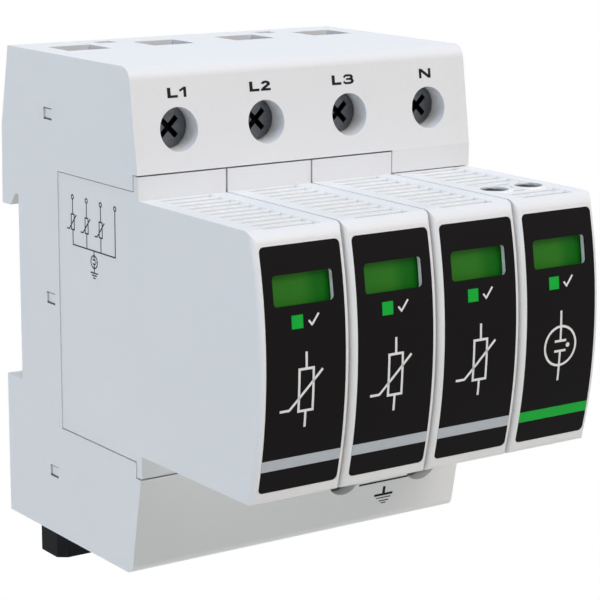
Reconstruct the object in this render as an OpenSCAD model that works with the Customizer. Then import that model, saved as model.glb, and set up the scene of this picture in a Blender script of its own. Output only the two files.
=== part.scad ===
// DIN rail surge arrester: four plug-in modules in a rail-mounted base.
// X runs across the modules, Y back to the rail, Z up. The origin is the middle of the rail's face.

/* [Base] */
// Width of one module place
module_w = 18; // [17.6:0.1:20]
// Height of the base without its latch feet
base_h = 90; // [88:0.5:98]
// Depth from the rail face to the front panel
face_d = 43.5; // [42.5:0.5:48]
// How far the front leans back at the top edge
front_lean = 2.6; // [1.5:0.1:4]
// How far the front leans back at the bottom edge
chin_lean = 3.4; // [1.5:0.1:5]
// Height between the panel seams
panel_h = 53.7; // [52.5:0.1:55]
// Height of the bay that takes a line module
bay_h = 48; // [47:0.1:49]
// Depth from the rail face to the back of the bay
spine_d = 15.2; // [14.6:0.1:17]
// Bay walls
wall = 1.6; // [1.4:0.1:2]
// Top and bottom walls
roof_t = 2.2; // [1.8:0.1:2.6]
// Side walls
side_wall = 1.5; // [1.2:0.1:1.8]
// Front wall of the terminal blocks
front_wall = 1.8; // [1.6:0.1:2.2]
// Ribs between the terminals
rib_t = 1.2; // [0.8:0.1:2]
// Rounding of the top front edge
top_edge_r = 2.5; // [1:0.1:4]
// Rounding of the bottom front edge
bottom_edge_r = 2; // [0.6:0.1:2.6]

/* [Rail seat] */
// Height of the rail
rail_h = 35; // [34.8:0.1:35.4]
// Thickness of the rail's flange
rail_t = 1; // [0.9:0.1:1.5]
// How far the fixed hook reaches down over the rail
hook_reach = 2.4; // [1.5:0.1:4]
// Thickness of the hook's tip
hook_tip = 3.2; // [2:0.1:4]
// Depth of the back behind the rail face at the hook
hook_d = 6.4; // [6.2:0.1:7]
// Depth of the back behind the rail face at the knee and the foot
back_d = 6; // [5.8:0.1:6.2]
// Depth of the back at the top edge
back_top_d = 2.9; // [2.4:0.1:4]
// Height of the knee where the back starts to lean
knee_z = 30; // [28:0.5:34]
// Thickness of the back cover
cover_t = 1.8; // [1.4:0.1:2.2]

/* [Module] */
// Height of the part of a module that stands out of the panel
plug_h = 45; // [43.6:0.1:45.4]
// Depth from the rail face to the middle of the module front
reach = 80.8; // [78:0.2:88]
// Radius of the curved front
front_r = 88; // [62:1:100]
// Rounding of the front's side edges
edge_r = 1; // [0.5:0.1:1.2]
// Rounding of the front's top edge
crown_r = 2.5; // [1:0.1:3.5]
// Rounding of the front's bottom edge
chin_r = 1; // [0.8:0.1:3]
// Wall of a module case
case_wall = 1.4; // [1.2:0.1:1.8]
// Wall of a module's curved front
nose_t = 1.1; // [0.9:0.1:1.5]
// Thickness of the flange that lies in the panel
flange_t = 1.6; // [1.2:0.1:2.2]
// Thickness of the lid at the back of a module
lid_t = 1.6; // [1.2:0.1:2]

/* [Label and window] */
// Width of the label
label_w = 15.5; // [13.6:0.1:15.5]
// Height of the label
label_h = 40.5; // [36:0.5:40.5]
// Thickness of the label
label_t = 0.25; // [0.15:0.05:0.4]
// Corner rounding of the label
label_r = 0.9; // [0.5:0.1:2]
// Width of the status window
window_w = 11.8; // [10:0.1:12.4]
// Height of the status window
window_h = 5; // [3.6:0.1:5.2]
// Corner rounding of the status window
window_r = 0.7; // [0.3:0.1:1.2]
// Height of the window's middle
window_z = 12.9; // [12.5:0.1:13.5]
// Thickness of the status flag
flag_t = 1; // [0.6:0.1:1.4]

/* [Grip grooves] */
// Number of grooves on the top of a module, one more than at the bottom
groove_n = 11; // [6:1:11]
// Distance between grooves, the first of them at the panel
groove_pitch = 3.1; // [2.6:0.05:3.1]
// Length of the ramp that rises from a groove towards the front
groove_run = 2.7; // [1.6:0.1:2.9]
// Width of a groove across the module
groove_l = 11; // [8:0.2:13.4]
// Depth of a groove
groove_depth = 0.5; // [0.2:0.05:0.6]
// Diameter of the vent holes on top of the neutral module
vent_d = 5.2; // [4:0.1:5.6]
// Distance between the vent holes
vent_gap = 7.8; // [6.6:0.1:8.2]
// Depth from the rail face to the vent holes
vent_at = 66.5; // [62:0.5:70]
// Flat rim round a vent hole, free of grooves
vent_rim = 0.7; // [0.4:0.1:0.9]
// Thickness of the wall round a vent hole
vent_lip = 0.5; // [0.4:0.1:1]

/* [Terminals] */
// Height of the terminal screws above the shelf under them
screw_up = 6.35; // [6:0.05:7.5]
// Diameter of the screw access holes
access_d = 7.6; // [7.4:0.1:8.2]
// Diameter of the screw heads
head_d = 7.2; // [6.6:0.1:7.3]
// Thickness of the screw heads
head_t = 2.8; // [2.2:0.1:3.2]
// How deep the heads lie below the front
head_sink = 3.7; // [2:0.1:5]
// Diameter of the screw shanks
shank_d = 5; // [4:0.1:5.2]
// Width of a wire entry
entry_w = 8.8; // [7:0.1:9.4]
// Depth of a wire entry
entry_d = 8; // [6.5:0.1:8.4]
// Wall of a clamp cage
cage_t = 1.3; // [1:0.1:1.5]
// Thickness of a clamp cage's nut side
nut_t = 3.2; // [2.4:0.1:4]
// Height of a clamp cage
cage_h = 8; // [7:0.2:9]

/* [Contacts] */
// Thickness of the contact bars
bar_t = 1.5; // [1.2:0.1:1.8]
// Width of the contact bars
bar_w = 8; // [7:0.1:8.2]
// Height of the plug blades above and below the rail's middle
blade_z = 11; // [10.6:0.1:11.6]
// Height of a plug blade's section
blade_h = 8; // [6:0.2:8]
// Thickness of a plug blade
blade_t = 1.2; // [0.8:0.1:1.6]
// Thickness of the arms that grip a blade
fork_t = 1; // [0.7:0.1:1.4]
// Height of the neutral bar's cross strip
strip_h = 6; // [4:0.2:7]

/* [Rail latch] */
// Distance from the side of the base to the middle of a latch
latch_in = 10.6; // [9:0.2:12]
// Width of a latch
latch_w = 8.5; // [6.4:0.1:8.8]
// How far a latch foot hangs below the base
foot_drop = 9.4; // [7:0.2:12]
// How far a latch foot reaches in front of the rail face
foot_front = 1.9; // [0.8:0.1:3]
// How far a latch can be pulled down
latch_travel = 5; // [3:0.1:5]
// Wire of a latch spring
spring_wire = 0.5; // [0.3:0.05:0.6]
// Middle radius of a latch spring
spring_r = 1.25; // [1:0.05:1.35]

/* [Clearances] */
// Gap between neighbouring modules, and above and below a module in its bay
slide_gap = 0.38; // [0.1:0.02:0.4]
// Gap round pieces that snap or slide into place
fit_gap = 0.1; // [0.05:0.01:0.15]
// Gap at faces that seat on each other
seat_gap = 0.05; // [0.02:0.01:0.1]

/* [Hidden] */
$fn = 64;
half_w = 2 * module_w;
half_h = base_h / 2;
panel_z = panel_h / 2;
bay_z = bay_h / 2;
plug_z = plug_h / 2;
shelf_z = panel_z + wall / 2;
floor_z = half_h - roof_t;
inner_x = half_w - side_wall;
past = 20;
overlap = 0.4;

// Rail seat
notch_z = rail_h / 2 + fit_gap;
hook_z = notch_z - hook_reach;
rail_play = 0.3;
ledge_z = rail_h / 2 + rail_play;
rear_line = [
    [back_top_d, half_h], [back_d, knee_z], [hook_d, hook_z], [hook_d - hook_tip, hook_z],
    [rail_t + fit_gap, notch_z], [0, notch_z], [0, -ledge_z], [back_d, -ledge_z], [back_d, -half_h]
];

// Terminals
screw_z = shelf_z + screw_up;
bar_front = spine_d - wall - seat_gap;
bar_back = bar_front - bar_t;
bar_top_gap = 2.4;
bar_end_z = floor_z - bar_top_gap;
head_y = front_y(screw_z, front_lean) + head_sink;
seat_y = head_y + head_t + seat_gap;
seat_t = 2.2;
cage_in_w = bar_w + 4 * fit_gap;
cage_back = bar_back - entry_d - fit_gap;
nut_gap = 3.8;
nut_front = bar_front + nut_gap + nut_t;
drive_l = 4.8;
drive_w = 1;
drive_depth = 1.5;

// Snap windows in the side walls and slots in the top wall
snap_d = 3.1;
snap_h = 2.2;
snap_at = spine_d - wall - snap_d / 2 - seat_gap;
snap_low_up = 1;
snap_zs = [screw_z, 0, snap_low_up - screw_z];
snap_arm_t = 1.2;
snap_arm_h = 5;
catch_sink = 0.3;
slot_w = 3.6;
slot_d = 3;
slot_front = 3;

// Rail latch
latch_xs = [latch_in - half_w, half_w - latch_in];
latch_play = 0.25;
latch_front = rail_t + latch_play;
latch_back = back_d - fit_gap;
nose_reach = 2.5;
nose_z = nose_reach - rail_h / 2;
nose_fall = 1.7;
tongue = 0.8;
tongue_in = 0.9;
tongue_front = latch_front + tongue_in;
tongue_t = 1.3;
tongue_low = latch_travel + overlap - floor_z;
tongue_drop = 3.2;
tongue_top = -ledge_z - tongue_drop;
channel_wall = 1.3;
foot_gap = 0.6;
foot_low = -(half_h + foot_drop);
foot_top = -(half_h + foot_gap);
foot_cut = 1.8;
foot_cut_d = 1.3;
pull_h = 2;
pull_z = (foot_low + foot_top) / 2;
eye_w = 2 * (spring_r + spring_wire) + overlap;
eye_drop = 3;
eye_h = 15;
eye_top = tongue_top - eye_drop;
eye_low = eye_top - eye_h;
peg_h = 2;
peg_up = 0.6;
peg_top = eye_low + peg_up + peg_h;
spring_turns = 6;
spring_y = (latch_front + latch_back) / 2;

// Where the bars end below and above a blade, and where the earth bar's cross strip lies
tail_in = 0.6;
far_out = 1.4;
cross_gap = 2;
cross_h = 4;
bar_tail = blade_z - blade_h / 2 - tail_in;
bar_far = blade_z + blade_h / 2 + far_out;
cross_top = -(bar_far + cross_gap);

// Modules
case_w = module_w - slide_gap;
case_z = bay_z - slide_gap / 2;
case_back = spine_d + seat_gap;
arc_y = front_r - reach;
case_front_r = front_r - nose_t;
flag_gap = 0.2;
sill_drop = 0.5;
label_drop = 0.25;
flag_r = case_front_r - flag_gap;
carrier_r = flag_r - flag_t - flag_gap;
carrier_t = 1.1;
plate_drop = 5;
flag_cover = 0.9;
flag_h = window_h + 2 * flag_cover;
hollow_x = case_w / 2 - case_wall;
tip_d = 5.5;
block_back = 30;
block_front = 64;
block_h = 34;
block_t = 8.2;
block_x = fit_gap + carrier_t + seat_gap - hollow_x;
leaf_t = 0.6;
leaf_h = 6;
leaf_l = 16;
leaf_bend = 5;
tube_d = 11.8;
tube_h = 26;
tube_at = 46;
tube_band = 3;
tube_waist = 0.8;
block_r = 3;
hollow_r = 1.2;
places = [0, 1, 2, 3];
earth_places = [2, 3];
marks = ["l1", "l2", "l3", "n"];

function place_x(i) = (i - 1.5) * module_w;
function front_y(z, lean) = lean * max(0, abs(z) - panel_z) / (half_h - panel_z) - face_d;
function rear_y(z) = back_top_d + (half_h - z) * (back_d - back_top_d) / (half_h - knee_z);
function is_neutral(i) = i == 3;

// A profile of depth and height, drawn across the width
module across(x0, x1) {
    translate([x0, 0, 0]) rotate([90, 0, 90]) linear_extrude(x1 - x0) children();
}

// A profile of width and height, drawn forward from one depth to another
module forward(d0, d1) {
    translate([0, -d0, 0]) rotate([90, 0, 0]) linear_extrude(d1 - d0) children();
}

module block(x0, x1, y0, y1, z0, z1) {
    translate([x0, y0, z0]) cube([x1 - x0, y1 - y0, z1 - z0]);
}

module rounded_rect(w, h, r) {
    square([w - 2 * r, h], center = true);
    square([w, h - 2 * r], center = true);
    for (sx = [-1, 1], sy = [-1, 1]) translate([sx * (w / 2 - r), sy * (h / 2 - r)]) circle(r);
}

// What a rounding takes off the corner p between edges that run along u and v
module round_off(p, u, v, r) {
    half = acos(u * v) / 2;
    mid = (u + v) / norm(u + v);
    c = p + mid * r / sin(half);
    difference() {
        polygon([p - mid, p + u * r / tan(half), c, p + v * r / tan(half)]);
        translate(c) circle(r);
    }
}

// Side outline of the base
module base_profile() {
    rise = half_h - panel_z;
    up = [front_lean, rise] / norm([front_lean, rise]);
    down = [chin_lean, -rise] / norm([chin_lean, -rise]);
    top = [front_lean - face_d, half_h];
    low = [chin_lean - face_d, -half_h];
    difference() {
        polygon(concat(rear_line, [low, [-face_d, -panel_z], [-face_d, panel_z], top]));
        round_off(top, [1, 0], -up, top_edge_r);
        round_off(low, [1, 0], -down, bottom_edge_r);
    }
}

// Hollow of the base, open at the back
module hollow_profile() {
    edge_y = front_y(floor_z, front_lean) + front_wall;
    chin_y = front_y(floor_z, chin_lean) + front_wall;
    face_y = front_wall - face_d;
    difference() {
        polygon([
            [past, floor_z], [edge_y, floor_z], [face_y, panel_z],
            [face_y, -panel_z], [chin_y, -floor_z], [past, -floor_z]
        ]);
        translate([-face_d - past, -shelf_z]) square([face_d + past - spine_d + wall, 2 * shelf_z]);
    }
}

module terminals() {
    for (i = places) translate([place_x(i), 0, screw_z]) children();
    for (i = earth_places) translate([place_x(i), 0, -screw_z]) mirror([0, 0, 1]) children();
}

module along_y(d, from, to) {
    translate([0, from, 0]) rotate([-90, 0, 0]) cylinder(d = d, h = to - from);
}

module base_shell() {
    difference() {
        across(-half_w, half_w) base_profile();
        across(-inner_x, inner_x) hollow_profile();
    }
    for (i = [-1:1]) across(i * module_w - rib_t / 2, i * module_w + rib_t / 2) intersection() {
        base_profile();
        for (s = [-1, 1]) translate([-face_d - past, s > 0 ? shelf_z - overlap : -half_h])
            square([face_d + past - slot_front, half_h - shelf_z + overlap]);
    }
    intersection() {
        across(-half_w, half_w) base_profile();
        terminals() along_y(access_d + 2 * front_wall, -face_d, seat_y + seat_t);
    }
}

module bays() {
    flange_y = flange_t + seat_gap - face_d;
    across(-half_w - past, module_w) {
        translate([-face_d - past, -bay_z]) square([face_d + past - spine_d, bay_h]);
        translate([flange_y - past, -panel_z]) square([past, panel_h]);
    }
    across(module_w - overlap / 4, half_w + past) translate([-face_d - past, -plug_z - slide_gap / 2])
        square([face_d + past - spine_d, plug_h + slide_gap]);
}

module housing() color("#e6e9ec") difference() {
    base_shell();
    bays();
    terminals() {
        along_y(access_d, -face_d - past, seat_y);
        along_y(shank_d + 4 * fit_gap, seat_y - overlap, seat_y + seat_t + overlap);
        block(-entry_w / 2, entry_w / 2, -bar_back, entry_d - bar_back, floor_z - screw_z - overlap, past);
    }
    for (i = places, s = [-1, 1]) translate([place_x(i), 0, s * blade_z])
        block(-blade_t / 2 - fit_gap, blade_t / 2 + fit_gap, -spine_d - overlap, wall + overlap - spine_d,
            -blade_h / 2 - fit_gap, blade_h / 2 + fit_gap);
    for (s = [-1, 1]) translate([s * module_w, 0, 0])
        block(-slot_w / 2, slot_w / 2, -slot_front, slot_d - slot_front, floor_z - overlap, half_h + overlap);
    for (s = [-1, 1], z = snap_zs) translate([s * half_w, -snap_at, z])
        cube([past / 2, snap_d, snap_h], center = true);
    for (x = latch_xs)
        block(x - latch_w / 2 - 2 * fit_gap, x + latch_w / 2 + 2 * fit_gap, latch_front - 2 * fit_gap, past,
            -half_h - overlap, overlap - floor_z);
}

// Side outline of the back cover, between the side walls
module cover_profile() {
    top_z = floor_z - fit_gap;
    in_d = back_d - cover_t;
    polygon(concat(
        [[rear_y(top_z), top_z]], [for (i = [1:7]) rear_line[i]],
        [[back_d, -top_z], [in_d, -top_z], [in_d, -ledge_z - cover_t], [-cover_t, -ledge_z - cover_t]],
        [[-cover_t, notch_z + cover_t], [in_d, notch_z + cover_t]],
        [[in_d, knee_z], [rear_y(top_z) - cover_t, top_z]]
    ));
}

module snap_arm(z) {
    x1 = inner_x - fit_gap;
    tip = snap_d / 2 - fit_gap;
    root = z > notch_z ? rear_y(max(z, knee_z)) - cover_t : z < -ledge_z ? back_d - cover_t : -cover_t;
    block(x1 - snap_arm_t, x1, -snap_at - tip, root + overlap, z - snap_arm_h / 2, z + snap_arm_h / 2);
    block(x1 - overlap, half_w - catch_sink, -snap_at - tip, tip - snap_at,
        z - snap_h / 2 + fit_gap, z + snap_h / 2 - fit_gap);
}

module back_cover() color("#dfe3e6") {
    slide_x = latch_w / 2 + fit_gap;
    top_z = floor_z - fit_gap;
    difference() {
        union() {
            across(fit_gap - inner_x, inner_x - fit_gap) cover_profile();
            for (x = latch_xs)
                block(x - slide_x - tongue - channel_wall, x + slide_x + tongue + channel_wall,
                    latch_front - 2 * fit_gap - channel_wall, back_d, -top_z, -ledge_z);
        }
        for (x = latch_xs) {
            block(x - slide_x, x + slide_x, latch_front - 2 * fit_gap, past, -half_h, overlap - ledge_z);
            block(x - slide_x - tongue, x + slide_x + tongue,
                tongue_front - fit_gap, tongue_front + tongue_t + fit_gap, -half_h, tongue_top + fit_gap);
        }
    }
    for (x = latch_xs)
        block(x - eye_w / 2 + latch_play, x + eye_w / 2 - latch_play,
            latch_front - 2 * fit_gap - overlap, latch_back - overlap, peg_top - peg_h, peg_top);
    for (s = [0, 1], z = snap_zs) mirror([s, 0, 0]) snap_arm(z);
}

module din_latch(x) color("#26282a") translate([x, 0, 0]) {
    half = latch_w / 2;
    difference() {
        across(-half, half) polygon([
            [latch_front, nose_z], [latch_back, nose_z - nose_fall], [latch_back, foot_low],
            [-foot_front, foot_low], [-foot_front, foot_top], [latch_front, foot_top]
        ]);
        block(-eye_w / 2, eye_w / 2, -past, past, eye_low, eye_top);
        block(-half + foot_cut, half - foot_cut, -past, past, pull_z - pull_h / 2, pull_z + pull_h / 2);
        for (s = [0, 1]) mirror([s, 0, 0]) translate([0, 0, foot_low - overlap]) linear_extrude(foot_drop)
            polygon([
                [half - foot_cut, -foot_front], [half, foot_cut_d - foot_front],
                [half + foot_cut, -foot_front], [half, -foot_front - foot_cut]
            ]);
    }
    for (s = [0, 1]) mirror([s, 0, 0])
        block(half - overlap, half + tongue - fit_gap,
            tongue_front, tongue_front + tongue_t, tongue_low, tongue_top);
}

function ring_at(t, z0, h, n) = [for (k = [0:n - 1])
    let (a = 360 * spring_turns * t, b = 360 * k / n, r = spring_r + spring_wire / 2 * cos(b))
    [r * cos(a), r * sin(a), z0 + h * t + spring_wire / 2 * sin(b)]];

module latch_spring(x) color("#b8bcc0") {
    sides = 6;
    rings = 12 * spring_turns;
    z0 = peg_top + seat_gap + spring_wire / 2;
    h = eye_top - seat_gap - spring_wire / 2 - z0;
    pts = [for (i = [0:rings]) each ring_at(i / rings, z0, h, sides)];
    skin = [for (i = [0:rings - 1], k = [0:sides - 1])
        let (a = i * sides + k, b = i * sides + (k + 1) % sides)
        each [[a, a + sides, b + sides], [a, b + sides, b]]];
    ends = [[for (k = [0:sides - 1]) k], [for (k = [sides - 1:-1:0]) rings * sides + k]];
    translate([x, spring_y, 0]) polyhedron(pts, concat(skin, ends));
}

// A screw that looks forward, at its own axis
module screw() color("#6f7478") difference() {
    union() {
        along_y(head_d, head_y, head_y + head_t);
        along_y(shank_d, head_y + head_t - overlap, -bar_front - seat_gap);
    }
    for (a = [45, 135]) translate([0, head_y, 0]) rotate([0, a, 0])
        cube([drive_l, 2 * drive_depth, drive_w], center = true);
}

// A clamp cage round the contact bar, open at the top for the wire
module cage() color("#c9ccd0") difference() {
    x = cage_in_w / 2 + cage_t;
    block(-x, x, -nut_front, cage_t - cage_back, -cage_h / 2, cage_h / 2);
    block(-cage_in_w / 2, cage_in_w / 2, -nut_front + nut_t, -cage_back, -cage_h, cage_h);
    along_y(shank_d + fit_gap, -nut_front - overlap, nut_t + overlap - nut_front);
}

module fork(x, z) translate([x, 0, z]) for (s = [0, 1]) mirror([s, 0, 0])
    translate([blade_t / 2 + seat_gap, 0, 0])
        block(0, fork_t, -bar_back - overlap, -tip_d, -blade_h / 2, blade_h / 2);

module blade_gap(x, z) translate([x, 0, z])
    block(-blade_t / 2 - seat_gap, blade_t / 2 + seat_gap, -spine_d, past - bar_back, -blade_h / 2 - fit_gap,
        blade_h / 2 + fit_gap);

module bar(x0, x1, z0, z1) block(x0, x1, -bar_front, -bar_back, z0, z1);

module upright(i, z0, z1) bar(place_x(i) - bar_w / 2, place_x(i) + bar_w / 2, z0, z1);

module line_contact(i) color("#c98a55") difference() {
    union() {
        upright(i, bar_tail, bar_end_z);
        fork(place_x(i), blade_z);
    }
    blade_gap(place_x(i), blade_z);
}

module neutral_bar() color("#c98a55") difference() {
    union() {
        bar(place_x(0) - bar_w / 2, place_x(3) + bar_w / 2, -strip_h / 2, strip_h / 2);
        upright(3, 0, bar_end_z);
        for (i = [0:2]) upright(i, -bar_far, 0);
        for (i = [0:2]) fork(place_x(i), -blade_z);
        fork(place_x(3), blade_z);
    }
    for (i = [0:2]) blade_gap(place_x(i), -blade_z);
    blade_gap(place_x(3), blade_z);
}

module earth_bar() color("#c98a55") difference() {
    union() {
        bar(place_x(2) - bar_w / 2, place_x(3) + bar_w / 2, cross_top - cross_h, cross_top);
        upright(2, -bar_end_z, cross_top);
        upright(3, -bar_end_z, -bar_tail);
        fork(place_x(3), -blade_z);
    }
    blade_gap(place_x(3), -blade_z);
}

// What a rounding of radius f takes off where the curved front meets a flat top
module crown_off(r, z, f) {
    c = [arc_y - sqrt(pow(r - f, 2) - pow(z - f, 2)), z - f];
    u = (c - [arc_y, 0]) / norm(c - [arc_y, 0]);
    difference() {
        polygon([c, c + u * 3 * f, c + [-3 * f, 3 * f], c + [0, 3 * f]]);
        translate(c) circle(f);
    }
}

// Side outline of the part of a module that stands out of the panel
module nose_profile(z, r, crown, chin, from) difference() {
    intersection() {
        translate([arc_y, 0]) circle(r, $fn = 360);
        translate([-reach - past, -z]) square([reach + past - from, 2 * z]);
    }
    crown_off(r, z, crown);
    mirror([0, 1]) crown_off(r, z, chin);
}

// A disc about the axis of the curved front, with rounded rims
module front_disc(i, r, w, rim) translate([place_x(i), arc_y, 0]) rotate([0, 90, 0])
    rotate_extrude($fn = 360) difference() {
        translate([0, -w / 2]) square([r, w]);
        if (rim > 0) for (s = [-1, 1]) round_off([r, s * w / 2], [-1, 0], [0, -s], rim);
    }

// A curved sheet that follows the front between two radii, cut to a width and a height
module front_sheet(i, r0, r1, w) intersection() {
    translate([place_x(i), arc_y, 0]) rotate([0, 90, 0]) rotate_extrude($fn = 360)
        translate([r0, -w / 2]) square([r1 - r0, w]);
    translate([place_x(i), 0, 0]) forward(face_d, reach + past) children();
}

module label_outline(grow) translate([0, -label_drop])
    rounded_rect(label_w + 2 * grow, label_h + 2 * grow, label_r);

module window_outline() translate([0, window_z]) rounded_rect(window_w, window_h, window_r);

module case_hollow(i) {
    z = is_neutral(i) ? plug_z : case_z;
    x = place_x(i);
    across(x - hollow_x, x + hollow_x) {
        translate([flange_t - face_d, case_wall - z]) square([face_d, 2 * (z - case_wall)]);
        nose_profile(plug_z - case_wall, case_front_r, hollow_r, hollow_r, face_d - 2 * flange_t);
    }
}

module case_outer(i) {
    z = is_neutral(i) ? plug_z : case_z;
    x = place_x(i);
    intersection() {
        across(x - case_w / 2, x + case_w / 2) {
            translate([-face_d, -z]) square([face_d - case_back, 2 * z]);
            if (!is_neutral(i)) translate([-face_d, slide_gap / 2 - panel_z])
                square([flange_t, panel_h - slide_gap]);
            nose_profile(plug_z, front_r, crown_r, chin_r, face_d - overlap);
        }
        front_disc(i, front_r, case_w, edge_r);
    }
}

// A grip groove: a wall at the back and a ramp up to the front
module groove() across(-groove_l / 2, groove_l / 2) polygon([
    [0, -groove_depth], [0, overlap], [-groove_run * (1 + overlap / groove_depth), overlap]
]);

// The places of the two vent holes, between two heights
module vents(i, d, z0, z1) for (s = [-1, 1])
    translate([place_x(i) + s * vent_gap / 2, -vent_at, z0]) cylinder(d = d, h = z1 - z0);

module module_case(i) color("#eef0f2") difference() {
    case_outer(i);
    case_hollow(i);
    front_sheet(i, front_r - label_t - seat_gap, front_r + past, label_w + 2 * seat_gap)
        label_outline(seat_gap);
    translate([place_x(i), 0, 0]) forward(face_d, reach + past) {
        window_outline();
        translate([0, -sill_drop]) window_outline();
    }
    difference() {
        for (s = [0, 1], j = [0:groove_n - 1 - s]) mirror([0, 0, s])
            translate([place_x(i), -face_d - j * groove_pitch, plug_z]) groove();
        if (is_neutral(i)) vents(i, vent_d + 2 * vent_rim, 0, plug_z + past);
    }
    if (is_neutral(i)) {
        vents(i, vent_d, plug_z - 2 * case_wall, plug_z + past);
        vents(i, vent_d + 2 * vent_rim, plug_z - 2 * case_wall, plug_z - vent_lip);
    }
}

module module_lid(i) color("#d9dde0") difference() {
    z = (is_neutral(i) ? plug_z : case_z) - case_wall - fit_gap;
    x = hollow_x - fit_gap;
    translate([place_x(i), 0, 0]) block(-x, x, -case_back - lid_t, -case_back, -z, z);
    for (s = [-1, 1]) translate([place_x(i), -face_d / 2, s * blade_z])
        cube([blade_t + 2 * seat_gap, face_d, blade_h + 2 * seat_gap], center = true);
}

module module_label(i) color("#1e1c1d") difference() {
    front_sheet(i, front_r - label_t, front_r, label_w) label_outline(0);
    translate([place_x(i), 0, 0]) forward(face_d, reach + past) window_outline();
}

module status_flag(i) color("#2f7a28") front_sheet(i, flag_r - flag_t, flag_r, 2 * (hollow_x - 3 * fit_gap))
    translate([0, window_z]) square([2 * case_w, flag_h], center = true);

// Tray at the left wall of a case, with a curved plate behind the flag
module inner_carrier(i) color("#b3271f") {
    x0 = fit_gap - hollow_x;
    z = plug_z - case_wall - 3 * fit_gap;
    plate_top = window_z + flag_h / 2;
    front_sheet(i, carrier_r - carrier_t, carrier_r, -2 * x0)
        translate([-case_w, -plate_drop]) square([2 * case_w, plate_top + plate_drop]);
    intersection() {
        translate([place_x(i), 0, 0]) block(x0, x0 + carrier_t, -reach, -case_back - lid_t - fit_gap, -z, z);
        front_disc(i, carrier_r - carrier_t / 2, 2 * case_w, 0);
    }
}

module varistor(i) color("#3f6fa8") translate([place_x(i) + block_x, 0, 0]) {
    mid = (block_back + block_front) / 2;
    translate([0, -mid, 0]) rotate([90, 0, 90]) linear_extrude(block_t)
        rounded_rect(block_front - block_back, block_h, block_r);
}

module gas_tube(i) color("#e9e4da") translate([place_x(i), -tube_at, 0]) {
    cylinder(d = tube_d - tube_waist, h = tube_h, center = true);
    for (s = [-1, 1]) translate([0, 0, s * (tube_h - tube_band) / 2])
        cylinder(d = tube_d, h = tube_band, center = true);
}

// The blades end at the back of the varistor, or at the bands of the gas tube
module plug_blades(i) color("#cfc6b4") {
    end = is_neutral(i) ? tube_at - tube_d / 2 : block_back;
    for (s = [-1, 1]) translate([place_x(i), 0, s * blade_z])
        block(-blade_t / 2, blade_t / 2, seat_gap - end, -tip_d, -blade_h / 2, blade_h / 2);
}

// Spring leaf that lifts off the block when its solder joint melts
module disconnect_leaf(i) color("#d2a05f") {
    near = blade_t / 2 + seat_gap;
    far = is_neutral(i) ? tube_d / 2 + seat_gap : block_x + block_t + seat_gap;
    rise = is_neutral(i) ? tube_at - tube_d : block_back;
    start = case_back + lid_t + fit_gap;
    translate([place_x(i), 0, blade_z - leaf_h / 2]) linear_extrude(leaf_h) polygon([
        [near, -start], [near, leaf_bend - rise], [far, leaf_t - rise], [far, -rise - leaf_l],
        [far + leaf_t, -rise - leaf_l], [far + leaf_t, 2 * leaf_t - rise],
        [near + leaf_t, leaf_bend + leaf_t - rise], [near + leaf_t, -start]
    ]);
}

housing();
back_cover();
din_latch(latch_xs[0]);  // din_latch_left
din_latch(latch_xs[1]);  // din_latch_right
latch_spring(latch_xs[0]);  // latch_spring_left
latch_spring(latch_xs[1]);  // latch_spring_right
neutral_bar();
earth_bar();
gas_tube(3);  // gas_tube_n
for (i = places) {
    translate([place_x(i), 0, screw_z]) {
        screw();
        cage();
    }
    module_case(i);
    module_lid(i);
    module_label(i);
    status_flag(i);
    inner_carrier(i);
    plug_blades(i);
    disconnect_leaf(i);
}
for (i = [0:2]) {
    line_contact(i);
    varistor(i);
}
for (j = [0, 1]) translate([place_x(earth_places[j]), 0, -screw_z]) {
    screw();
    cage();
}
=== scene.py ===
import math

import bmesh
import bpy
from mathutils import Matrix, Vector


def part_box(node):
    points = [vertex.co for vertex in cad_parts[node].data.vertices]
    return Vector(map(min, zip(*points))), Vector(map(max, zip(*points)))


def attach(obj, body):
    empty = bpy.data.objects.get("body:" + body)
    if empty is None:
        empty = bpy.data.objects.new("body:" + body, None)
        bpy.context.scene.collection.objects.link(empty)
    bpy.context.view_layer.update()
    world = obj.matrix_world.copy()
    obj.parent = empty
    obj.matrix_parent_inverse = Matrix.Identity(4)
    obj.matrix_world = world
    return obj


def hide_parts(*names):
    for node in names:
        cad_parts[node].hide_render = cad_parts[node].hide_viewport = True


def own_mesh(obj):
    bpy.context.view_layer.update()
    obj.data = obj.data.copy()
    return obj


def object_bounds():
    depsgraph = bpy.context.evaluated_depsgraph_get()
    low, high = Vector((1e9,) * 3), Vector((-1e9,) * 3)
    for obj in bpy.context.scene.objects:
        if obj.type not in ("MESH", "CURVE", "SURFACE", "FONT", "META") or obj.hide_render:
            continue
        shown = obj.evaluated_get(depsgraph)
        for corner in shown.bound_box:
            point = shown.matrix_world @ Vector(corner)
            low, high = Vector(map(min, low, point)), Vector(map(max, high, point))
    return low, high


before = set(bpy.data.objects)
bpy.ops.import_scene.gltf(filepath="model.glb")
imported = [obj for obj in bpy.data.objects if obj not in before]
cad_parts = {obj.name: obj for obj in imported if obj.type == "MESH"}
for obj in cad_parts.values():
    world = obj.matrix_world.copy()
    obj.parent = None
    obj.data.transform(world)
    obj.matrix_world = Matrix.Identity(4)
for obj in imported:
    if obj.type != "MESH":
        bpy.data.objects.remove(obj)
cadLow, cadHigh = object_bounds()
mm = 0.001
modulePitch = 18  # mm from one module to the next
lineMarks = ["l1", "l2", "l3"]
allMarks = lineMarks + ["n"]
acrossX = Vector((1, 0, 0))
upZ = Vector((0, 0, 1))
print("stage: frame loaded,", len(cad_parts), "nodes")


# small helpers for places, meshes, colours and nodes
def faceMatrix(origin, right, up):
    turn = Matrix((right, up, right.cross(up))).transposed().to_4x4()
    return Matrix.Translation(origin) @ turn


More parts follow.
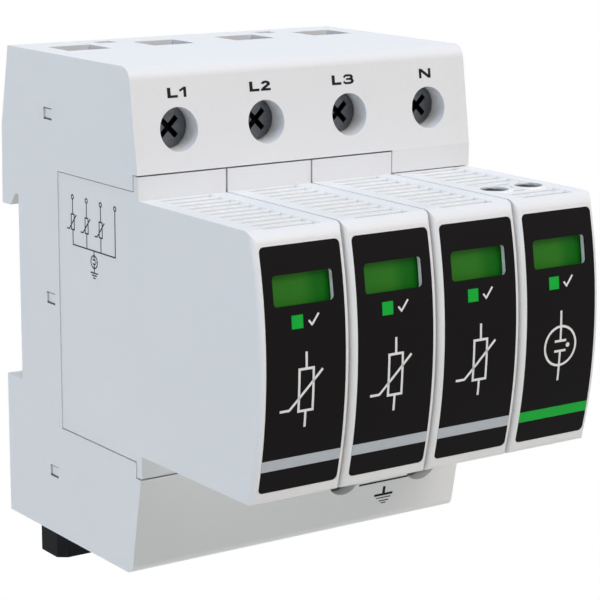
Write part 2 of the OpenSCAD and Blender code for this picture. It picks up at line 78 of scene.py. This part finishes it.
def placeMesh(name, shape, material):
    mesh = bpy.data.meshes.new(name)
    shape.to_mesh(mesh)
    shape.free()
    mesh.materials.append(material)
    piece = bpy.data.objects.new(name, mesh)
    bpy.context.scene.collection.objects.link(piece)
    return piece


def hexColour(code):
    parts = [int(code[i:i + 2], 16) / 255 for i in (1, 3, 5)]
    linear = [c / 12.92 if c <= 0.04045 else ((c + 0.055) / 1.055) ** 2.4 for c in parts]
    return (*linear, 1)


def perMetre(sizeMm):
    return 1000 / sizeMm


def addNode(tree, kind, settings=None, values=None, links=None):
    node = tree.nodes.new(kind)
    for key, value in (settings or {}).items():
        setattr(node, key, value)
    for key, value in (values or {}).items():
        node.inputs[key].default_value = value
    for key, socket in (links or {}).items():
        tree.links.new(socket, node.inputs[key])
    return node


# camera, found from the photo's own edges
cameraSet = {
    "eye": Vector((-223.231, -360.928, 86.069)) * mm,
    "right": Vector((0.82141, -0.57032, 0.00422)),
    "up": Vector((0.11867, 0.17815, 0.97682)),
    "viewAngle": 15.535,  # degrees across the square picture
    "sensor": 36,
    "clip": 0.01,
}


def placeCamera(setup):
    lens = bpy.data.cameras.new("photoCamera")
    lens.sensor_width = setup["sensor"]
    lens.angle = math.radians(setup["viewAngle"])
    lens.clip_start = setup["clip"]
    camera = bpy.data.objects.new("photoCamera", lens)
    bpy.context.scene.collection.objects.link(camera)
    camera.matrix_world = faceMatrix(setup["eye"], setup["right"], setup["up"])
    bpy.context.scene.camera = camera


placeCamera(cameraSet)
print("stage: camera placed")


def startMaterial(name, values):
    material = bpy.data.materials.new(name)
    material.use_nodes = True
    tree = material.node_tree
    tree.nodes.clear()
    shader = addNode(tree, "ShaderNodeBsdfPrincipled", values=values)
    addNode(tree, "ShaderNodeOutputMaterial", links={"Surface": shader.outputs["BSDF"]})
    place = addNode(tree, "ShaderNodeTexCoord").outputs["Object"]
    return material, tree, shader, place


# what a layer can lie along: an axis or the distance from a middle plane, in mm, or the share of the module pitch,
# from 0 at a module's left side to 1 at its right
def layerAxis(tree, split, name):
    if name == "pitch":
        count = addNode(tree, "ShaderNodeMath", {"operation": "MULTIPLY_ADD"},
                        {1: 1 / modulePitch, 2: len(allMarks) / 2}, {0: split["X"]})
        return addNode(tree, "ShaderNodeMath", {"operation": "FRACT"}, links={0: count.outputs[0]}).outputs[0]
    if name in ("side", "height"):
        straight = split["X" if name == "side" else "Z"]
        return addNode(tree, "ShaderNodeMath", {"operation": "ABSOLUTE"}, links={0: straight}).outputs[0]
    return split[name.upper()]


# a layer lies inside all its spans, and comes in along its fades
def layerShare(tree, split, layer):
    shares = [addNode(tree, "ShaderNodeMath", {"operation": "COMPARE"}, {1: (start + end) / 2, 2: (end - start) / 2},
                      {0: layerAxis(tree, split, name)}).outputs[0]
              for name, (start, end) in layer.get("spans", {}).items()]
    shares += [addNode(tree, "ShaderNodeMapRange", {"interpolation_type": "SMOOTHSTEP"},
                       {"From Min": start, "From Max": end}, {"Value": layerAxis(tree, split, name)}).outputs["Result"]
               for name, (start, end) in layer.get("fades", {}).items()]
    share = shares[0]
    for other in shares[1:]:
        share = addNode(tree, "ShaderNodeMath", {"operation": "MULTIPLY"}, links={0: share, 1: other}).outputs[0]
    return share


# colour, gloss and relief: two tones drift with one noise, layers lie on them, gloss and relief follow another noise
def finishMaterial(tree, shader, place, look, drift, grain, relief):
    tone = addNode(tree, "ShaderNodeMix", {"data_type": "RGBA"},
                   {"A": hexColour(look["colour"]), "B": hexColour(look["shade"])},
                   {"Factor": drift.outputs["Fac"]}).outputs["Result"]
    if "layers" in look:
        scaled = addNode(tree, "ShaderNodeVectorMath", {"operation": "SCALE"}, {"Scale": 1 / mm}, {0: place})
        split = addNode(tree, "ShaderNodeSeparateXYZ", links={"Vector": scaled.outputs["Vector"]}).outputs
        for layer in look["layers"]:
            tone = addNode(tree, "ShaderNodeMix", {"data_type": "RGBA"}, {"B": hexColour(layer["colour"])},
                           {"Factor": layerShare(tree, split, layer), "A": tone}).outputs["Result"]
    rough = addNode(tree, "ShaderNodeMapRange", values={"To Min": look["rough"][0], "To Max": look["rough"][1]},
                    links={"Value": grain.outputs["Fac"]})
    bump = addNode(tree, "ShaderNodeBump", values={"Strength": look["bump"], "Distance": relief},
                   links={"Height": grain.outputs["Fac"]})
    tree.links.new(tone, shader.inputs["Base Color"])
    tree.links.new(rough.outputs["Result"], shader.inputs["Roughness"])
    tree.links.new(bump.outputs["Normal"], shader.inputs["Normal"])


# Moulded thermoplastic: the grain of the eroded mould breaks the highlight, and slow flow tones drift in the colour.
# Such grain is usually near 0.1 mm, and is drawn as coarse as it needs to show
def mouldedPlastic(name, look):
    gloss = {"IOR": look["ior"], "Specular IOR Level": look.get("shine", 0.5)}
    material, tree, shader, place = startMaterial(name, gloss)
    flow = addNode(tree, "ShaderNodeTexNoise", values={"Scale": perMetre(look["flowMm"]), "Detail": 3},
                   links={"Vector": place})
    grain = addNode(tree, "ShaderNodeTexNoise", values={"Scale": perMetre(look["grainMm"]), "Detail": 2},
                    links={"Vector": place})
    finishMaterial(tree, shader, place, look, flow, grain, look["grainMm"] * mm)
    return material


streakDepth = 0.02 * mm


# Worked metal: drawn or rolled streaks along one axis vary its gloss, and the tone shifts a little with them.
# They too are drawn wider than real ones, so that they show
def workedMetal(name, look):
    material, tree, shader, place = startMaterial(name, {"Metallic": 1})
    turned = addNode(tree, "ShaderNodeMapping", values={"Scale": look["stretch"]}, links={"Vector": place})
    streak = addNode(tree, "ShaderNodeTexNoise", values={"Scale": perMetre(look["streakMm"]), "Detail": 4},
                     links={"Vector": turned.outputs["Vector"]})
    finishMaterial(tree, shader, place, look, streak, streak, streakDepth)
    return material


# painted shade in the gaps over and under the catches, inside the side windows
windowGaps = {"paintedShade": "#8F9396", "side": (34.6, 35.9), "y": (-13.6, -10.4), "windows": (34, 0, -33),
              "gaps": [(-1.15, -0.78), (0.78, 1.15)]}  # heights from a window's middle
windowGapPaintedShade = [
    {"colour": windowGaps["paintedShade"],
     "spans": {"side": windowGaps["side"], "y": windowGaps["y"], "z": (middle + low, middle + high)}}
    for middle in windowGaps["windows"] for low, high in windowGaps["gaps"]]
# PBT of the base: cool white, matt, with painted shade laid in the side windows' gaps
basePbt = mouldedPlastic("mouldedPbtBase", {
    "colour": "#E6E7E7", "shade": "#E2E3E4", "ior": 1.55, "flowMm": 28, "grainMm": 0.45, "rough": (0.42, 0.56),
    "bump": 0.06, "layers": windowGapPaintedShade})
# the ramps of the grip grooves, below the module's top and above its bottom
grooveField = {"pitch": (0.1933, 0.8067), "y": (-76.2, -43.4), "height": (21.9, 22.47)}
# PBT of the modules: the same white, a little smoother
modulePbt = mouldedPlastic("mouldedPbtModule", {
    "colour": "#E6E7E7", "shade": "#E2E3E4", "ior": 1.55, "flowMm": 24, "grainMm": 0.4, "rough": (0.36, 0.48),
    "bump": 0.045,
    "layers": [
        # painted shade in the seam under the terminal blocks
        {"colour": "#8A8D90", "spans": {"y": (-43.6, -42.5), "height": (26.58, 26.7)}},
        # ramps lightened as painted light, with painted shade at their deep end
        {"colour": "#F6F6F5", "spans": grooveField},
        {"colour": "#CCD0D2", "spans": grooveField, "fades": {"height": (22.35, 21.98)}}]})
# Nylon of the latches: black, with a dry sheen
latchNylon = mouldedPlastic("mouldedNylonBlack", {
    "colour": "#1D1F21", "shade": "#232527", "ior": 1.53, "flowMm": 9, "grainMm": 0.5, "rough": (0.55, 0.7),
    "bump": 0.1, "shine": 0.04})
# ABS of the status flags: clear green, fairly glossy, with painted shade that deepens it towards the right end, as in
# the photo
flagAbs = mouldedPlastic("mouldedAbsGreen", {
    "colour": "#2E791C", "shade": "#297118", "ior": 1.54, "flowMm": 7, "grainMm": 0.6, "rough": (0.3, 0.4),
    "bump": 0.03, "shine": 0.12, "layers": [{"colour": "#036306", "fades": {"pitch": (0.5, 0.71)}}]})
# Glass-filled PBT of the inner carriers: grey with a dull skin, and painted red on the front that a dropped flag shows
carrierPbt = mouldedPlastic("filledPbtPaintedRed", {
    "colour": "#4A4D50", "shade": "#434649", "ior": 1.56, "flowMm": 6, "grainMm": 0.35, "rough": (0.45, 0.62),
    "bump": 0.1, "layers": [{"colour": "#B0261E", "spans": {"y": (-79, -74.7)}}]})
# Polyester film of the labels: screen printed black, satin
labelFilm = mouldedPlastic("polyesterFilmBlack", {
    "colour": "#121011", "shade": "#151314", "ior": 1.5, "flowMm": 12, "grainMm": 0.3, "rough": (0.44, 0.56),
    "bump": 0.03, "shine": 0.055})
# Epoxy coat of the varistors: dipped, so thick, soft edged and glossy
dippedEpoxy = mouldedPlastic("dippedEpoxyBlue", {
    "colour": "#3D6CA6", "shade": "#315A90", "ior": 1.57, "flowMm": 8, "grainMm": 1.6, "rough": (0.22, 0.34),
    "bump": 0.15})
# Alumina of the gas tube: fired and ground, so matt and warm white
firedCeramic = mouldedPlastic("firedAluminaWhite", {
    "colour": "#E6E1D6", "shade": "#DAD4C6", "ior": 1.6, "flowMm": 5, "grainMm": 0.3, "rough": (0.4, 0.55),
    "bump": 0.08})
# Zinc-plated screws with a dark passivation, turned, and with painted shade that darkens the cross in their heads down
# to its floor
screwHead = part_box("terminal_screw_l1")[0].y / mm
darkZinc = workedMetal("turnedDarkZinc", {
    "colour": "#6E7073", "shade": "#505356", "stretch": (1, 0.2, 1), "streakMm": 0.5, "rough": (0.3, 0.48),
    "bump": 0.2, "layers": [{"colour": "#16171A", "fades": {"y": (screwHead + 0.15, screwHead + 0.6)}}]})
# Bright zinc of the clamp cages: stamped, so silvery with fine streaks
brightZinc = workedMetal("stampedZincSteel", {
    "colour": "#C9CCD0", "shade": "#AEB2B7", "stretch": (1, 0.15, 1), "streakMm": 0.7, "rough": (0.25, 0.42),
    "bump": 0.15})
# Copper alloy of the contact bars: rolled and stamped, so warm and bright, with upright streaks
rolledCopper = workedMetal("rolledCopperAlloy", {
    "colour": "#C98F63", "shade": "#B47A50", "stretch": (1, 1, 0.08), "streakMm": 0.5, "rough": (0.22, 0.4),
    "bump": 0.15})
# Tin plate of the blades: matt silver, a little warm
tinPlate = workedMetal("matteTinPlate", {
    "colour": "#CFCBC2", "shade": "#BDB9B0", "stretch": (1, 0.2, 1), "streakMm": 0.6, "rough": (0.32, 0.46),
    "bump": 0.1})
# Phosphor bronze of the spring leaves: rolled, so yellow and bright, with long streaks
rolledBronze = workedMetal("rolledPhosphorBronze", {
    "colour": "#C99A5E", "shade": "#B5854B", "stretch": (1, 0.1, 1), "streakMm": 0.4, "rough": (0.22, 0.36),
    "bump": 0.12})
# Spring wire: drawn, so a bright grey with fine streaks
drawnSteel = workedMetal("drawnSpringSteel", {
    "colour": "#B9BDC1", "shade": "#9FA3A8", "stretch": (1, 1, 0.3), "streakMm": 0.3, "rough": (0.2, 0.34),
    "bump": 0.1})


# Screen-print ink: a thin satin layer with a little uneven density
def printInk(name, colour, thin):
    return mouldedPlastic(name, {
        "colour": colour, "shade": thin, "ior": 1.5, "flowMm": 4, "grainMm": 0.3, "rough": (0.42, 0.55),
        "bump": 0.03, "shine": 0.15})


inks = {
    "grey": printInk("inkGrey", "#B9C1C8", "#B2BAC1"),
    "green": printInk("inkGreen", "#0FAE3A", "#0CA535"),
    "white": printInk("inkWhite", "#E9EAEA", "#DFE0E0"),
    "black": printInk("inkBlack", "#0E0E0F", "#141415"),
}
print("stage: materials made")


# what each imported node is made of, and the small radius of its moulded or stamped edges in mm
finishes = {
    "housing": (basePbt, 0.25),
    "back_cover": (basePbt, 0.2),
    "din_latch": (latchNylon, 0.3),
    "latch_spring": (drawnSteel, 0),
    "terminal_screw": (darkZinc, 0.2),
    "earth_screw": (darkZinc, 0.2),
    "clamp_cage": (brightZinc, 0.2),
    "earth_cage": (brightZinc, 0.2),
    "line_contact": (rolledCopper, 0.1),
    "neutral_bar": (rolledCopper, 0.1),
    "earth_bar": (rolledCopper, 0.1),
    "module_case": (modulePbt, 0.06),
    "module_lid": (modulePbt, 0.1),
    "module_label": (labelFilm, 0),
    "status_flag": (flagAbs, 0),
    "inner_carrier": (carrierPbt, 0),
    "varistor": (dippedEpoxy, 0.6),
    "gas_tube": (firedCeramic, 0.2),
    "plug_blades": (tinPlate, 0.15),
    "disconnect_leaf": (rolledBronze, 0.05),
}
edgeSet = {"join": 0.001 * mm, "segments": 2, "leastAngle": math.radians(40)}


def dressNode(name, node):
    material, radius = next(finishes[key] for key in finishes if name.startswith(key))
    for slot in node.material_slots:
        slot.material = material
    if radius:
        weld = node.modifiers.new("joinTriangles", "WELD")
        weld.merge_threshold = edgeSet["join"]
        soften = node.modifiers.new("softEdges", "BEVEL")
        soften.width = radius * mm
        soften.segments = edgeSet["segments"]
        soften.limit_method = "ANGLE"
        soften.angle_limit = edgeSet["leastAngle"]
        soften.use_clamp_overlap = True
        soften.harden_normals = True
        even = node.modifiers.new("evenShading", "WEIGHTED_NORMAL")
        even.mode = "FACE_AREA_WITH_ANGLE"
        even.keep_sharp = True


for name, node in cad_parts.items():
    dressNode(name, node)
print("stage: packed nodes dressed")


# the latch springs are wound again in finer wire
springSet = {"wire": 0.5 * mm, "wireSides": 12, "turns": 6, "stepsPerTurn": 24}


def windSpring(side):
    low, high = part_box(f"latch_spring_{side}")
    wire, length = springSet["wire"], high.z - low.z
    steps = springSet["turns"] * springSet["stepsPerTurn"]
    coil = bmesh.new()
    start = Matrix.Translation(((high.x - low.x - wire) / 2, 0, 0)) @ Matrix.Rotation(math.pi / 2, 4, "X")
    bmesh.ops.create_circle(coil, segments=springSet["wireSides"], radius=wire / 2, matrix=start)
    bmesh.ops.spin(coil, geom=coil.verts[:] + coil.edges[:], cent=(0, 0, 0), axis=upZ,
                   dvec=upZ * (length - wire) / steps, angle=math.tau * springSet["turns"], steps=steps)
    for face in coil.faces:
        face.smooth = True
    bmesh.ops.holes_fill(coil, edges=[edge for edge in coil.edges if edge.is_boundary], sides=0)
    bmesh.ops.recalc_face_normals(coil, faces=coil.faces)
    seat = Vector(((low.x + high.x) / 2, (low.y + high.y) / 2, low.z))
    bmesh.ops.translate(coil, verts=coil.verts, vec=seat + upZ * wire / 2)
    spring = placeMesh(f"wound_spring_{side}", coil, drawnSteel)
    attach(spring, "base")
    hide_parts(f"latch_spring_{side}")
    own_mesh(spring)


for side in ("left", "right"):
    windSpring(side)
print("stage: springs wound")


# prints: flat shapes in mm with a little thickness, laid on the face that carries them
printSet = {
    "proud": 0.03 * mm,        # above the face
    "root": 0.1 * mm,          # below it, out of sight
    "labelRadius": 88 * mm,    # the labels curve about a line across the object
    "labelAxisY": 7.2 * mm,
    "cutStep": 1 * mm,         # between the cuts that let a print follow the curve
    "cutJoin": 1e-8,
    "ringSides": 48,
    "arcSteps": 14,
}


def addBar(sheet, middle, size, turn=0):
    place = Matrix.Translation((middle[0] * mm, middle[1] * mm, 0)) @ Matrix.Rotation(math.radians(turn), 4, "Z")
    bmesh.ops.create_grid(sheet, x_segments=1, y_segments=1, size=0.5,
                          matrix=place @ Matrix.Diagonal((size[0] * mm, size[1] * mm, 1, 1)))


def addUpright(sheet, x, low, high, width):
    addBar(sheet, (x, (low + high) / 2), (width, high - low))


def addStroke(sheet, start, end, width):
    run = Vector(end) - Vector(start)
    middle = (Vector(start) + Vector(end)) / 2
    addBar(sheet, middle, (run.length, width), math.degrees(math.atan2(run.y, run.x)))


# a ring, or a full disc where no width is given
def addRing(sheet, middle, radius, width=None):
    place = Matrix.Translation((middle[0] * mm, middle[1] * mm, 0))
    made = bmesh.ops.create_circle(sheet, cap_ends=True, segments=printSet["ringSides"], radius=radius * mm,
                                   matrix=place)
    if width:
        disc = list({face for vert in made["verts"] for face in vert.link_faces})
        bmesh.ops.inset_region(sheet, faces=disc, thickness=width * mm, use_boundary=True, use_even_offset=True)
        bmesh.ops.delete(sheet, geom=disc, context="FACES_ONLY")


def addArc(sheet, middle, radius, width, start, sweep, stretch):
    ends = [sheet.verts.new(((radius + side * width / 2) * mm, 0, 0)) for side in (-1, 1)]
    edge = sheet.edges.new(ends)
    bmesh.ops.rotate(sheet, verts=ends, cent=(0, 0, 0), matrix=Matrix.Rotation(math.radians(start), 3, "Z"))
    before = set(sheet.verts) - set(ends)
    bmesh.ops.spin(sheet, geom=ends + [edge], cent=(0, 0, 0), axis=upZ, angle=math.radians(sweep),
                   steps=printSet["arcSteps"])
    made = [vert for vert in sheet.verts if vert not in before]
    place = Matrix.Translation((middle[0] * mm, middle[1] * mm, 0)) @ Matrix.Diagonal((stretch, 1, 1, 1))
    bmesh.ops.transform(sheet, verts=made, matrix=place)


def thickenPrint(sheet):
    for face in sheet.faces:
        if face.normal.dot(upZ) < 0:
            face.normal_flip()
    bmesh.ops.translate(sheet, verts=sheet.verts, vec=upZ * -printSet["root"])
    made = bmesh.ops.extrude_face_region(sheet, geom=list(sheet.faces), use_keep_orig=True)
    raised = [item for item in made["geom"] if isinstance(item, bmesh.types.BMVert)]
    bmesh.ops.translate(sheet, verts=raised, vec=upZ * (printSet["root"] + printSet["proud"]))
    bmesh.ops.recalc_face_normals(sheet, faces=sheet.faces)


def bendToLabel(sheet):
    low = min(vert.co.z for vert in sheet.verts)
    high = max(vert.co.z for vert in sheet.verts)
    for step in range(1, math.ceil((high - low) / printSet["cutStep"])):
        everything = list(sheet.verts) + list(sheet.edges) + list(sheet.faces)
        bmesh.ops.bisect_plane(sheet, geom=everything, dist=printSet["cutJoin"], plane_no=upZ,
                               plane_co=upZ * (low + step * printSet["cutStep"]))
    for vert in sheet.verts:
        radius = printSet["labelRadius"] - vert.co.y
        vert.co.y = printSet["labelAxisY"] - math.sqrt(radius ** 2 - vert.co.z ** 2)


def printPiece(name, body, ink, matrix, draw, *details, bend=False):
    sheet = bmesh.new()
    draw(sheet, *details)
    thickenPrint(sheet)
    sheet.transform(matrix)
    if bend:
        bendToLabel(sheet)
    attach(placeMesh(name, sheet, inks[ink]), body)


# circuit signs: a varistor is a box crossed by a stroke with a foot, a spark gap two plates and a dot in a ring.
# Foot, dot, plates and leads are given by their place and size
def drawVaristor(sheet, middle, shape, line):
    (x, z), (width, height), (run, rise), (footAt, foot) = middle, shape["box"], shape["slash"], shape["foot"]
    for side in (-1, 1):
        addBar(sheet, (x + side * (width - line) / 2, z), (line, height))
        addBar(sheet, (x, z + side * (height - line) / 2), (width - 2 * line, line))
    addStroke(sheet, (x - run, z - rise), (x + run, z + rise), line)
    addBar(sheet, (x + footAt, z - rise), (foot, line))


def drawSparkGap(sheet, middle, shape, line):
    (x, z), (dotAt, dot), (plateAt, plate), (leadAt, lead) = middle, shape["dot"], shape["plate"], shape["lead"]
    addRing(sheet, middle, shape["ring"], line)
    addRing(sheet, (x + dotAt, z), dot)
    for side in (-1, 1):
        addBar(sheet, (x, z + side * plateAt), (plate, line))
        addBar(sheet, (x, z + side * leadAt), (line, lead))


# the band across the foot of each label
bandSet = {"width": 15.5, "height": 1.87, "middle": -15.78}


def drawBand(sheet):
    addBar(sheet, (0, bandSet["middle"]), (bandSet["width"], bandSet["height"]))


# the key under each window: a green field and a tick, given by the ends of its strokes
keySet = {"height": 7.7, "shift": 1.6, "square": 2.2, "stroke": 0.34,
          "tick": [(-1, 0, -0.3, -0.86), (-0.43, -0.8, 1, 0.98)]}


def drawKeyField(sheet):
    addBar(sheet, (-keySet["shift"], keySet["height"]), (keySet["square"], keySet["square"]))


def drawKeyTick(sheet):
    x, z = keySet["shift"], keySet["height"]
    for x0, z0, x1, z1 in keySet["tick"]:
        addStroke(sheet, (x + x0, z + z0), (x + x1, z + z1), keySet["stroke"])


# the sign of each label: a varistor for the lines, a spark gap for the gas tube of neutral
signSet = {
    "middle": (0, -3.6),
    "stroke": 0.42,
    "lead": 2.6,
    "varistor": {"box": (3.2, 7.4), "slash": (3.2, 3.1), "foot": (-4.1, 1.9)},
    "gap": {"ring": 3.7, "dot": (1.7, 0.42), "plate": (0.9, 2.6), "lead": (3.7, 5.2)},
}


def drawLineSign(sheet):
    (x, z), line, lead = signSet["middle"], signSet["stroke"], signSet["lead"]
    drawVaristor(sheet, signSet["middle"], signSet["varistor"], line)
    half = signSet["varistor"]["box"][1] / 2
    addUpright(sheet, x, z + half, z + half + lead, line)
    addUpright(sheet, x, z - half - lead, z - half, line)


def drawNeutralSign(sheet):
    drawSparkGap(sheet, signSet["middle"], signSet["gap"], signSet["stroke"])


for place, mark in enumerate(allMarks):
    isLine = mark in lineMarks
    moduleX = (place - (len(allMarks) - 1) / 2) * modulePitch * mm
    for name, ink, draw in (("label_band", "grey" if isLine else "green", drawBand),
                            ("label_key_field", "green", drawKeyField),
                            ("label_key_tick", "white", drawKeyTick),
                            ("label_symbol", "white", drawLineSign if isLine else drawNeutralSign)):
        printPiece(f"{name}_{mark}", f"module_{mark}", ink, faceMatrix(acrossX * moduleX, acrossX, upZ), draw,
                   bend=True)
print("stage: labels printed")


# marks on the terminal blocks, in mm, measured up and down the leaning faces from the seams
blockSet = {
    "seam": (0, -43.5, 26.85),
    "upperLean": (2.6, 18.15),    # depth and height over which a face leans back
    "lowerLean": (3.4, 18.15),
    "letterLow": 12.66,
    "marks": {
        "L1": [("L", -28.79), ("1", -26.42)], "L2": [("L", -12.03), ("2", -9.66)],
        "L3": [("L", 5.65), ("3", 8.1)], "N": [("N", 25.35)]},
    "bars": [  # of the earth sign: left, right, middle height, thickness
        (16.55, 20.88, -12.8, 0.48), (17.1, 20.5, -13.47, 0.2), (17.86, 20.08, -14.12, 0.2),
        (18.41, 19.5, -14.6, 0.2), (18.41, 19.03, -11.84, 1.44), (12.6, 24.17, -9.9, 0.34)],
}
# broad letters 1.75 mm high: bars by middle and size, strokes by ends and width, and arcs as addArc takes them
letterShapes = {
    "L": {"bars": [(0.33, 0.875, 0.66, 1.75), (1.35, 0.22, 1.4, 0.44)]},
    "1": {"bars": [(1.14, 0.875, 0.54, 1.75)], "strokes": [(0.1, 1.12, 0.92, 1.52, 0.38)]},
    "2": {"bars": [(1.05, 0.21, 2.04, 0.42)], "strokes": [(1.5, 0.98, 0.42, 0.36, 0.44)],
          "arcs": [(1.03, 1.18, 0.37, 0.4, 175, -215, 1.65)]},
    "3": {"bars": [(0.98, 1.56, 1.06, 0.38), (1.12, 0.91, 0.78, 0.34), (0.96, 0.19, 1.1, 0.38)],
          "strokes": [(0.18, 1.24, 0.5, 1.5, 0.36), (0.12, 0.5, 0.46, 0.22, 0.36)],
          "arcs": [(1.48, 1.23, 0.32, 0.38, 90, -180, 1.5), (1.48, 0.55, 0.36, 0.38, 90, -180, 1.65)]},
    "N": {"bars": [(0.28, 0.875, 0.54, 1.75), (2.4, 0.875, 0.54, 1.75)],
          "strokes": [(0.46, 1.53, 2.22, 0.22, 0.52)]},
}


def blockMatrix(lean, side):
    x, y, z = (value * mm for value in blockSet["seam"])
    up = Vector((0, side * lean[0], lean[1])).normalized()
    return faceMatrix(Vector((x, y, side * z)), acrossX, up)


def drawMark(sheet, letters):
    low = blockSet["letterLow"]
    for letter, left in letters:
        shape = letterShapes[letter]
        for x, y, width, height in shape.get("bars", []):
            addBar(sheet, (left + x, low + y), (width, height))
        for x0, y0, x1, y1, width in shape.get("strokes", []):
            addStroke(sheet, (left + x0, low + y0), (left + x1, low + y1), width)
        for x, y, *arc in shape.get("arcs", []):
            addArc(sheet, (left + x, low + y), *arc)


def drawEarth(sheet):
    for left, right, height, thick in blockSet["bars"]:
        addBar(sheet, ((left + right) / 2, height), (right - left, thick))


for mark, letters in blockSet["marks"].items():
    printPiece(f"terminal_mark_{mark.lower()}", "base", "black", blockMatrix(blockSet["upperLean"], 1),
               drawMark, letters)
printPiece("earth_mark", "base", "black", blockMatrix(blockSet["lowerLean"], -1), drawEarth)
print("stage: terminal blocks printed")


# small circuit plan on the side of the first module: three varistors to neutral, a spark gap to earth
planSet = {
    "corner": (-35.81, -19, 6.5),    # lower back corner of the plan, on the case's flank
    "stroke": 0.24,
    "lines": (1.4, 6.4, 11.4),
    "neutral": 16.4,
    "bus": 4.9,
    "top": 13,                       # where the leads end in small rings
    "ring": 0.5,
    "varistorAt": 9,
    "varistor": {"box": (1.3, 3), "slash": (1.3, 1.4), "foot": (-1.7, 0.9)},
    "gapAt": (8.9, 2.9),
    "gap": {"ring": 1.25, "dot": (0.62, 0.18), "plate": (0.36, 1), "lead": (1.18, 1.4)},
    "earth": [(2.6, 0.9), (1.7, 0.45), (0.8, 0)],    # lengths and heights of its bars
}


def drawPlan(sheet):
    line, bus, top, middle, ring = (planSet[key] for key in ("stroke", "bus", "top", "varistorAt", "ring"))
    left, right = planSet["lines"][0], planSet["neutral"]
    half = planSet["varistor"]["box"][1] / 2
    for x in (*planSet["lines"], right):
        addRing(sheet, (x, top + ring), ring, line)
    for x in planSet["lines"]:
        drawVaristor(sheet, (x, middle), planSet["varistor"], line)
        addUpright(sheet, x, middle + half, top, line)
        addUpright(sheet, x, bus + line / 2, middle - half, line)
    addUpright(sheet, right, bus + line / 2, top, line)
    addBar(sheet, ((left + right) / 2, bus), (right - left + line, line))
    drawSparkGap(sheet, planSet["gapAt"], planSet["gap"], line)
    for width, height in planSet["earth"]:
        addBar(sheet, (planSet["gapAt"][0], height), (width, line))


printPiece("circuit_plan", "module_l1", "black",
           faceMatrix(Vector(planSet["corner"]) * mm, Vector((0, -1, 0)), upZ), drawPlan)
print("stage: side printed")


# lights and floor
studio = {
    "fill": 0.2,              # even light from the room
    "fillColour": "#FFFEEA",
    "paper": "#F5F4EF",
    "floorDrop": 250 * mm,
    "floorSize": 20,
    "aim": Vector((0, -0.03, 0)),
    "lamps": [
        # name, place, size, watts, colour
        ("keySoftbox", (0.35, -0.9, 0.85), 0.8, 8.6, "#FFF4F0"),
        ("topSoftbox", (-0.1, -0.1, 1.1), 0.9, 6.3, "#CBDEFA"),
        ("leftSoftbox", (-1.0, -0.2, 0.3), 0.9, 4.65, "#DDEAFF"),
        ("rightSoftbox", (1.05, 0.1, 0.3), 0.8, 1.8, "#FFFFFF"),
        ("backSoftbox", (-0.1, 1.05, 0.25), 0.8, 1.8, "#FFFFFF"),
    ],
}
white = (1, 1, 1, 1)


# the rays that see a plain white backdrop in place of the lit room
def backdropShare(tree):
    path = addNode(tree, "ShaderNodeLightPath").outputs
    first = addNode(tree, "ShaderNodeMath", {"operation": "MAXIMUM"},
                    links={0: path["Is Camera Ray"], 1: path["Is Glossy Ray"]})
    return addNode(tree, "ShaderNodeMath", {"operation": "MAXIMUM"},
                   links={0: first.outputs[0], 1: path["Is Transmission Ray"]}).outputs[0]


def lightStudio(setup):
    world = bpy.data.worlds.new("studioWorld")
    bpy.context.scene.world = world
    world.use_nodes = True
    tree = world.node_tree
    tree.nodes.clear()
    room = addNode(tree, "ShaderNodeBackground",
                   values={"Color": hexColour(setup["fillColour"]), "Strength": setup["fill"]})
    seen = addNode(tree, "ShaderNodeBackground", values={"Color": white, "Strength": 1})
    mix = addNode(tree, "ShaderNodeMixShader",
                  links={"Fac": backdropShare(tree), 1: room.outputs[0], 2: seen.outputs[0]})
    addNode(tree, "ShaderNodeOutputWorld", links={"Surface": mix.outputs[0]})
    for name, place, size, watts, colour in setup["lamps"]:
        lamp = bpy.data.lights.new(name, "AREA")
        lamp.shape = "DISK"
        lamp.size = size
        lamp.energy = watts
        lamp.color = hexColour(colour)[:3]
        holder = bpy.data.objects.new(name, lamp)
        holder.location = place
        holder.rotation_euler = (setup["aim"] - Vector(place)).to_track_quat("-Z", "Y").to_euler()
        bpy.context.scene.collection.objects.link(holder)


def layFloor(setup):
    material = bpy.data.materials.new("floorPaper")
    material.use_nodes = True
    tree = material.node_tree
    tree.nodes.clear()
    paper = addNode(tree, "ShaderNodeBsdfDiffuse", values={"Color": hexColour(setup["paper"])})
    seen = addNode(tree, "ShaderNodeEmission", values={"Color": white, "Strength": 1})
    mix = addNode(tree, "ShaderNodeMixShader",
                  links={"Fac": backdropShare(tree), 1: paper.outputs[0], 2: seen.outputs[0]})
    # seen from below the floor is clear, so the underside can be looked at
    below = addNode(tree, "ShaderNodeNewGeometry").outputs["Backfacing"]
    clear = addNode(tree, "ShaderNodeBsdfTransparent").outputs[0]
    oneSided = addNode(tree, "ShaderNodeMixShader", links={"Fac": below, 1: mix.outputs[0], 2: clear})
    addNode(tree, "ShaderNodeOutputMaterial", links={"Surface": oneSided.outputs[0]})
    sheet = bmesh.new()
    bmesh.ops.create_grid(sheet, x_segments=1, y_segments=1, size=setup["floorSize"] / 2)
    bmesh.ops.translate(sheet, verts=sheet.verts, vec=upZ * (cadLow.z - setup["floorDrop"]))
    placeMesh("studioFloor", sheet, material)


lightStudio(studio)
layFloor(studio)
bpy.context.scene.view_settings.view_transform = "Standard"
print("stage: studio lit")
